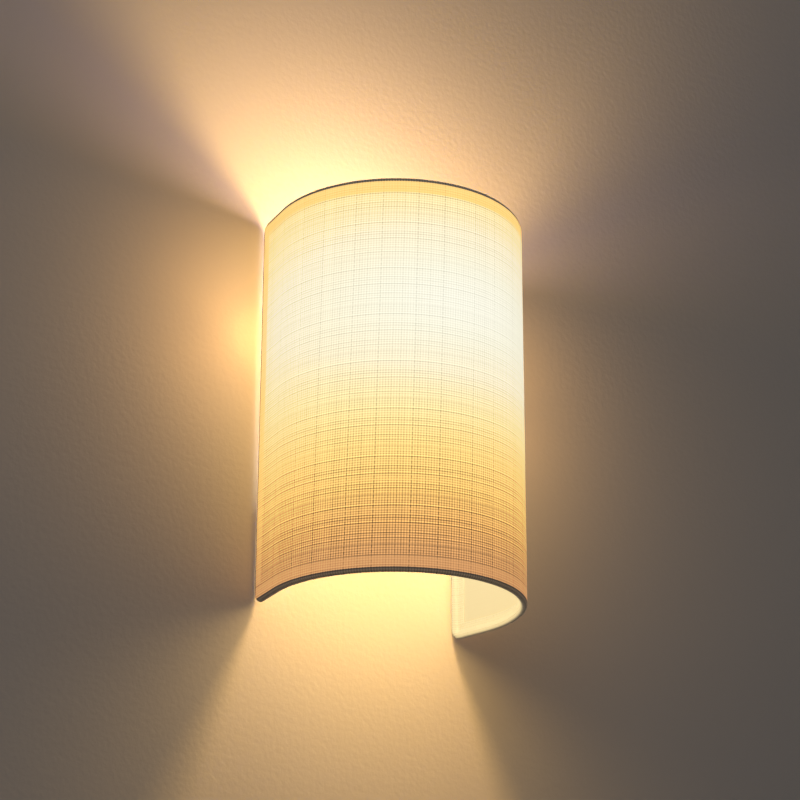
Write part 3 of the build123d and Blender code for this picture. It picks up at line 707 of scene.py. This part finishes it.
# Rings of a weld mark as (share of the radius, share of the rise).
weld_rings = [(1.0, 0.0), (0.92, 0.55), (0.78, 0.8), (0.62, 0.5), (0.4, 0.35), (0.02, 0.3)]
weld_columns = 24
hook_x = (hooks_high.x - hooks_low.x) / 2 - hook_width / 2
cross_wires = [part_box("upper_cross_wire"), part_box("lower_cross_wire")]
wire_heights = [(low.z + high.z) / 2 for low, high in cross_wires]
hook_foot_drop = wire_heights[1] - hooks_low.z


def weld_marks():
    """(points, faces) of two marks on each hook's leg."""
    points, faces = [], []
    for side in (-1, 1):
        for wire_height in wire_heights:
            for step in (-0.5, 0.5):
                middle = wire_height - hook_foot_drop + hook_leg / 2 + step * weld_spacing
                start = len(points)
                for share, rise in weld_rings:
                    reach = weld_radius * share
                    depth = plate_low.y - hook_gauge - weld_rise * rise
                    for column in range(weld_columns):
                        angle = 2 * pi * column / weld_columns
                        x, z = side * hook_x + reach * cos(angle), middle + reach * sin(angle)
                        points.append((x, depth, z))
                faces += grid_faces(len(weld_rings), weld_columns, start, close_columns=True)
    return points, faces


# ---------------------------------------------------------------- materials of the CAD nodes
def painted_metal(name, colour, worn, roughness):
    """Powder-coated metal with a fine orange peel and slightly duller patches."""
    shader = Shader(name)
    place = shader.object_coordinates()
    cloud = shader.noise(place, 45, 4)
    peel = shader.noise(place, 1400, 2)
    return shader.finish(
        base_color=shader.mix(cloud, colour, worn),
        roughness=shader.math("MULTIPLY_ADD", cloud, 0.18, roughness),
        normal=shader.bump(peel, 0.03 * mm, 0.5),
    )


def bare_metal(name, colour, dull, roughness, grain):
    """Plated or drawn metal with fine scratches along one direction."""
    shader = Shader(name)
    place = shader.object_coordinates()
    cloud = shader.noise(place, 120, 4)
    scratches = shader.noise(shader.stretched(place, grain), 1, 3)
    wear = shader.math("ADD", cloud, scratches)
    return shader.finish(
        base_color=shader.mix(cloud, colour, dull),
        metallic=1,
        roughness=shader.math("MULTIPLY_ADD", wear, 0.14, roughness),
        normal=shader.bump(scratches, 0.01 * mm, 0.6),
    )


def moulded(name, colour, shade, roughness, grain=900, relief=0.02):
    """Moulded plastic, rubber or glaze with a fine surface grain."""
    shader = Shader(name)
    place = shader.object_coordinates()
    cloud = shader.noise(place, 60, 3)
    return shader.finish(
        base_color=shader.mix(cloud, colour, shade),
        roughness=shader.math("MULTIPLY_ADD", cloud, 0.12, roughness),
        normal=shader.bump(shader.noise(place, grain, 2), relief * mm, 0.5),
    )


# The globe's glow over its height, brightest where the chips light it.
globe_glow = [
    (0.0, (0.62, 0.40, 0.18, 1)),
    (0.35, (0.92, 0.78, 0.52, 1)),
    (1.0, (0.96, 0.88, 0.68, 1)),
]


def glowing_opal():
    """Opal lamp globe with a glossy skin."""
    shader = Shader("opal_globe")
    place = shader.object_coordinates()
    height = shader.add("ShaderNodeSeparateXYZ", {"Vector": place}).outputs["Z"]
    low, high = globe_low.z, globe_high.z
    level = shader.math("DIVIDE", shader.math("SUBTRACT", height, low), high - low)
    frost = shader.noise(place, 700, 2)
    return shader.finish(
        base_color=shader.mix(frost, (0.30, 0.29, 0.27, 1), (0.34, 0.33, 0.31, 1)),
        roughness=shader.math("MULTIPLY_ADD", frost, 0.08, 0.14),
        normal=shader.bump(frost, 0.01 * mm, 0.4),
        emission_color=shader.ramp(level, globe_glow),
        emission_strength=1,
    )


# The depth at which the earth lead stands, and the height of one turn of its stripe.
earth_lead_y = -11.5 * mm
stripe_turn = 14 * mm
stripe_edge = 0.1


def earth_insulation():
    """Green with a yellow stripe that winds round the lead."""
    shader = Shader("earth_insulation")
    place = shader.add("ShaderNodeSeparateXYZ", {"Vector": shader.object_coordinates()})
    off_axis = shader.math("ADD", place.outputs["Y"], -earth_lead_y)
    turn = shader.math("ARCTAN2", place.outputs["X"], off_axis)
    wind = shader.math("MULTIPLY_ADD", place.outputs["Z"], 2 * pi / stripe_turn, turn)
    stripe_here = shader.math("GREATER_THAN", shader.math("SINE", wind), stripe_edge)
    grain = shader.noise(shader.object_coordinates(), 900)
    return shader.finish(
        base_color=shader.mix(stripe_here, (0.04, 0.24, 0.05, 1), (0.72, 0.55, 0.04, 1)),
        roughness=shader.math("MULTIPLY_ADD", grain, 0.12, 0.36),
        normal=shader.bump(grain, 0.02 * mm, 0.5),
    )


# Each look's colour, the colour of its clouds, and its roughness.
painted_metals = {
    "white_wire": ((0.78, 0.76, 0.72, 1), (0.66, 0.64, 0.60, 1), 0.38),
    "white_enamel": ((0.80, 0.79, 0.76, 1), (0.73, 0.72, 0.69, 1), 0.34),
}
# The same, and the scale of the scratches along each axis.
bare_metals = {
    "zinc_steel": ((0.62, 0.62, 0.60, 1), (0.45, 0.45, 0.44, 1), 0.30, (2600, 2600, 160)),
    "bright_nickel": ((0.74, 0.71, 0.66, 1), (0.62, 0.60, 0.56, 1), 0.14, (900, 900, 900)),
    "brass": ((0.72, 0.52, 0.24, 1), (0.56, 0.39, 0.17, 1), 0.22, (300, 2200, 2200)),
    "tinned_copper": ((0.66, 0.62, 0.56, 1), (0.52, 0.47, 0.42, 1), 0.28, (2000, 300, 2000)),
    "lamp_cap_metal": ((0.70, 0.68, 0.64, 1), (0.58, 0.56, 0.53, 1), 0.20, (300, 300, 2600)),
    "board_aluminium": ((0.80, 0.80, 0.79, 1), (0.70, 0.70, 0.69, 1), 0.34, (200, 2400, 200)),
    "solder_tip": ((0.58, 0.57, 0.55, 1), (0.44, 0.43, 0.42, 1), 0.36, (700, 700, 700)),
}
# The same, and where it isn't the usual grain, its scale and its relief in millimetres.
mouldings = {
    "terminal_plastic": ((0.74, 0.73, 0.69, 1), (0.66, 0.65, 0.61, 1), 0.42),
    "holder_plastic": ((0.78, 0.77, 0.74, 1), (0.70, 0.69, 0.66, 1), 0.36),
    "porcelain": ((0.80, 0.78, 0.74, 1), (0.74, 0.72, 0.68, 1), 0.18, 300, 0.03),
    "brown_insulation": ((0.16, 0.07, 0.035, 1), (0.12, 0.05, 0.025, 1), 0.38),
    "blue_insulation": ((0.03, 0.10, 0.36, 1), (0.02, 0.07, 0.28, 1), 0.38),
    "rubber_bush": ((0.035, 0.035, 0.035, 1), (0.06, 0.06, 0.06, 1), 0.62, 1500, 0.04),
    "lamp_plastic": ((0.80, 0.79, 0.76, 1), (0.74, 0.73, 0.70, 1), 0.40),
    "black_glass": ((0.02, 0.02, 0.022, 1), (0.035, 0.03, 0.035, 1), 0.10, 200, 0.05),
    "led_phosphor": ((0.86, 0.66, 0.16, 1), (0.80, 0.58, 0.12, 1), 0.30),
}
finishes = {
    "opal_globe": glowing_opal(),
    "earth_insulation": earth_insulation(),
    "shade_cloth": shade_cloth_material,
    "shade_lining": lining,
    "hem_cloth": hem_cloth_material,
}
looks_by_kind = [(painted_metal, painted_metals), (bare_metal, bare_metals), (moulded, mouldings)]
for make_look, looks in looks_by_kind:
    for name, values in looks.items():
        finishes[name] = make_look(name, *values)

turned_piece("lamp_cap_thread", cap_profile, cap_ridge, "lamp", "lamp_cap_metal", "bulb_cap")
turned_piece("tube_thread", tube_profile, tube_ridge, "wall_base", "zinc_steel", "threaded_nipple")
make_piece("hook_welds", *weld_marks(), "wall_base", "white_enamel", finishes["white_enamel"])
for node in nodes.values():
    for holder in node.material_slots:
        holder.material = finishes[holder.material.name.split(".")[0]]

# ---------------------------------------------------------------- backdrop
floor_height = -1.1
floor_reach = 6.0
wall_reach = 3.0


def stage_plane(name, corners, material):
    """A flat backdrop that isn't part of the light."""
    mesh = bpy.data.meshes.new(name)
    mesh.from_pydata(corners, [], [(0, 1, 2, 3)])
    plane = bpy.data.objects.new(name, mesh)
    plane.data.materials.append(material)
    bpy.context.scene.collection.objects.link(plane)
    return plane


def plaster(name, colour, shade):
    """(shader, colour, normal) of smooth plaster, left open for its surface."""
    shader = Shader(name)
    place = shader.object_coordinates()
    cloud = shader.noise(place, 3, 5)
    relief = shader.bump(shader.noise(place, 260, 4), 0.4 * mm, 0.4)
    return shader, shader.mix(cloud, colour, shade), relief


floor_shader, floor_colour, floor_normal = plaster(
    "floor", (0.74, 0.73, 0.71, 1), (0.70, 0.69, 0.67, 1)
)
floor = stage_plane(
    "floor",
    [
        (-floor_reach, -floor_reach, floor_height),
        (floor_reach, -floor_reach, floor_height),
        (floor_reach, floor_reach, floor_height),
        (-floor_reach, floor_reach, floor_height),
    ],
    floor_shader.finish(base_color=floor_colour, roughness=0.8, normal=floor_normal),
)
floor.visible_diffuse = False

# The wall shows only from the room's side, so that the light's back can be seen from behind.
wall_shader, wall_colour, wall_normal = plaster(
    "wall", (0.56, 0.54, 0.535, 1), (0.53, 0.51, 0.505, 1)
)
painted = wall_shader.add("ShaderNodeBsdfDiffuse", {"Color": wall_colour, "Normal": wall_normal})
clear = wall_shader.add("ShaderNodeBsdfTransparent")
behind = wall_shader.add("ShaderNodeNewGeometry").outputs["Backfacing"]
layers = {0: behind, 1: painted.outputs[0], 2: clear.outputs[0]}
either = wall_shader.add("ShaderNodeMixShader", layers)
wall_shader.put(wall_shader.output.inputs["Surface"], either.outputs[0])
wall = stage_plane(
    "wall",
    [
        (-wall_reach, 0, floor_height),
        (wall_reach, 0, floor_height),
        (wall_reach, 0, wall_reach),
        (-wall_reach, 0, wall_reach),
    ],
    wall_shader.material,
)
for ray in ("diffuse", "glossy", "transmission", "shadow", "volume_scatter"):
    setattr(wall, f"visible_{ray}", False)


# ---------------------------------------------------------------- lights
# The lamp's own light, and lamps that light only the wall: spill passes the shade's edges, glow
# passes through its cloth, and a leak passes under a rear edge.
lamp_power = 0.35
lamp_spill_power = 8.0
upper_spill_power = 2.2
upper_white_power = 1.25
lower_spill_power = 1.7
front_glow_power = 0.15
flank_glow_power = 0.88
leak_power = 0.0026
lamp_colour = (1.0, 0.70, 0.36)
spill_colour = (1.0, 0.585, 0.175)
white_colour = (0.05, 0.16, 1.0)
through_colour = (1.0, 0.49, 0.12)
leak_colour = (1.0, 0.78, 0.45)
spill_softening = 0.03
through_softening = 0.002
lamp_size = 0.8 * globe_radius
spill_size = 0.9 * globe_radius
upper_size = 0.6 * globe_radius
lower_size = 1.3 * globe_radius
upper_place = (0, lamp_y, shade_top - 20 * mm)
white_place = (0, 0.5 * lamp_y, shade_top - 25 * mm)
lower_place = (0, lamp_y, shade_bottom + 55 * mm)
flank_x = 0.9 * front_radius
flank_y = 0.36 * lamp_y
leak_width = 1.0 * mm
leak_length = 200 * mm
leak_gap = 2.5 * mm
leak_drop = 14 * mm
soft_size = 1.6
floor_power = 2.1
floor_softness = radians(25)
floor_slant = (radians(-12), radians(16), 0)


def only(name, *pieces):
    """A collection for light linking. It isn't linked to the scene."""
    collection = bpy.data.collections.new(name)
    for piece in pieces:
        collection.objects.link(piece)
    return collection


wall_only = only("wall_only", wall)
shade_only = only("shade_only", shade_cloth, hem)
floor_only = only("floor_only", floor)


def add_light(name, kind, power, colour=(1, 1, 1), place=(0, 0, 0), lit=None, shaded_by=None):
    """A lamp. The two collections limit what it lights and what shades it."""
    light = bpy.data.objects.new(name, bpy.data.lights.new(name, kind))
    light.data.energy = power
    light.data.color = colour
    light.location = place
    light.light_linking.receiver_collection = lit
    light.light_linking.blocker_collection = shaded_by
    bpy.context.scene.collection.objects.link(light)
    return light


def wall_light(name, power, colour, place, size, through=False):
    """A round lamp that lights only the wall, past the shade's edges or through its cloth."""
    shaded_by = floor_only if through else shade_only
    light = add_light(name, "POINT", power, colour, place, wall_only, shaded_by)
    light.data.shadow_soft_size = size
    light.data.use_nodes = True
    tree = light.data.node_tree
    falloff = tree.nodes.new("ShaderNodeLightFalloff")
    falloff.inputs["Strength"].default_value = 1
    falloff.inputs["Smooth"].default_value = through_softening if through else spill_softening
    tree.links.new(falloff.outputs["Quadratic"], tree.nodes["Emission"].inputs["Strength"])


def soft_light(name, power, place, target):
    """A large square studio lamp that points at a target."""
    light = add_light(name, "AREA", power, place=place)
    light.data.size = soft_size
    light.rotation_euler = (Vector(target) - Vector(place)).to_track_quat("-Z", "Y").to_euler()


lamp_light = add_light("lamp_light", "POINT", lamp_power, lamp_colour, glow_centre)
lamp_light.data.shadow_soft_size = lamp_size
nodes["bulb_globe"].visible_shadow = False
wall_light("lamp_spill", lamp_spill_power, spill_colour, glow_centre, spill_size)
wall_light("upper_spill", upper_spill_power, spill_colour, upper_place, upper_size)
wall_light("upper_white", upper_white_power, white_colour, white_place, upper_size)
wall_light("lower_spill", lower_spill_power, spill_colour, lower_place, lower_size)
wall_light("front_glow", front_glow_power, through_colour, glow_centre, globe_radius, through=True)
for side in (-1, 1):
    place = (side * flank_x, flank_y, glow_centre.z)
    name = f"flank_glow_{side + 1}"
    wall_light(name, flank_glow_power, through_colour, place, globe_radius, through=True)
for side in (-1, 1):
    place = (side * (upright_x + bead_radius), -leak_gap, glow_centre.z - leak_drop)
    name = f"edge_leak_{side + 1}"
    leak = add_light(name, "AREA", leak_power, leak_colour, place, wall_only, floor_only)
    leak.data.shape = "ELLIPSE"
    leak.data.size = leak_width
    leak.data.size_y = leak_length
    leak.rotation_euler = (pi / 2, 0, 0)
    leak.visible_camera = False
soft_light("key", power=5, place=(-1.4, -1.8, 1.3), target=(0, -0.05, 0))
soft_light("fill_behind", power=40, place=(1.2, 1.8, 0.9), target=(0, 0, 0))
floor_light = add_light("floor_light", "SUN", floor_power, lit=floor_only)
floor_light.data.angle = floor_softness
floor_light.rotation_euler = floor_slant

# The room's own light is weak, and what the camera sees past the stage is a plain grey.
room_colour = (0.98, 0.96, 0.94, 1)
room_strength = 0.09
beyond_colour = (0.62, 0.60, 0.58, 1)
world = bpy.data.worlds.new("studio")
bpy.context.scene.world = world
world.use_nodes = True
room = world.node_tree.nodes["Background"]
room.inputs["Color"].default_value = room_colour
room.inputs["Strength"].default_value = room_strength
beyond = world.node_tree.nodes.new("ShaderNodeBackground")
beyond.inputs["Color"].default_value = beyond_colour
beyond.inputs["Strength"].default_value = 1
seen = world.node_tree.nodes.new("ShaderNodeLightPath").outputs["Is Camera Ray"]
choice = world.node_tree.nodes.new("ShaderNodeMixShader")
for socket, source in zip(choice.inputs, (seen, room.outputs[0], beyond.outputs[0])):
    world.node_tree.links.new(source, socket)
world_output = world.node_tree.nodes["World Output"]
world.node_tree.links.new(choice.outputs[0], world_output.inputs["Surface"])

# ---------------------------------------------------------------- camera
# From the fit of the shade's edges to the photo. The focal length is in the picture's pixels.
image_width = 800
camera_place = Vector((-789.11, -1190.41, -517.15)) * mm
camera_yaw = radians(34.602)
camera_pitch = radians(20.715)
camera_roll = radians(0.226)
focal_pixels = 2386.1
sensor_width = 36

camera = bpy.data.objects.new("camera", bpy.data.cameras.new("camera"))
camera.data.sensor_width = sensor_width
camera.data.lens = focal_pixels * sensor_width / image_width
bpy.context.scene.collection.objects.link(camera)
ahead = Vector((sin(camera_yaw), cos(camera_yaw), 0))
forward = ahead * cos(camera_pitch) + Vector((0, 0, sin(camera_pitch)))
level = Vector((cos(camera_yaw), -sin(camera_yaw), 0))
upward = level.cross(forward)
right = level * cos(camera_roll) + upward * sin(camera_roll)
up = upward * cos(camera_roll) - level * sin(camera_roll)
turn = Matrix((right, up, -forward)).transposed().to_4x4()
camera.matrix_world = Matrix.Translation(camera_place) @ turn
bpy.context.scene.camera = camera
bpy.context.scene.view_settings.view_transform = "Standard"
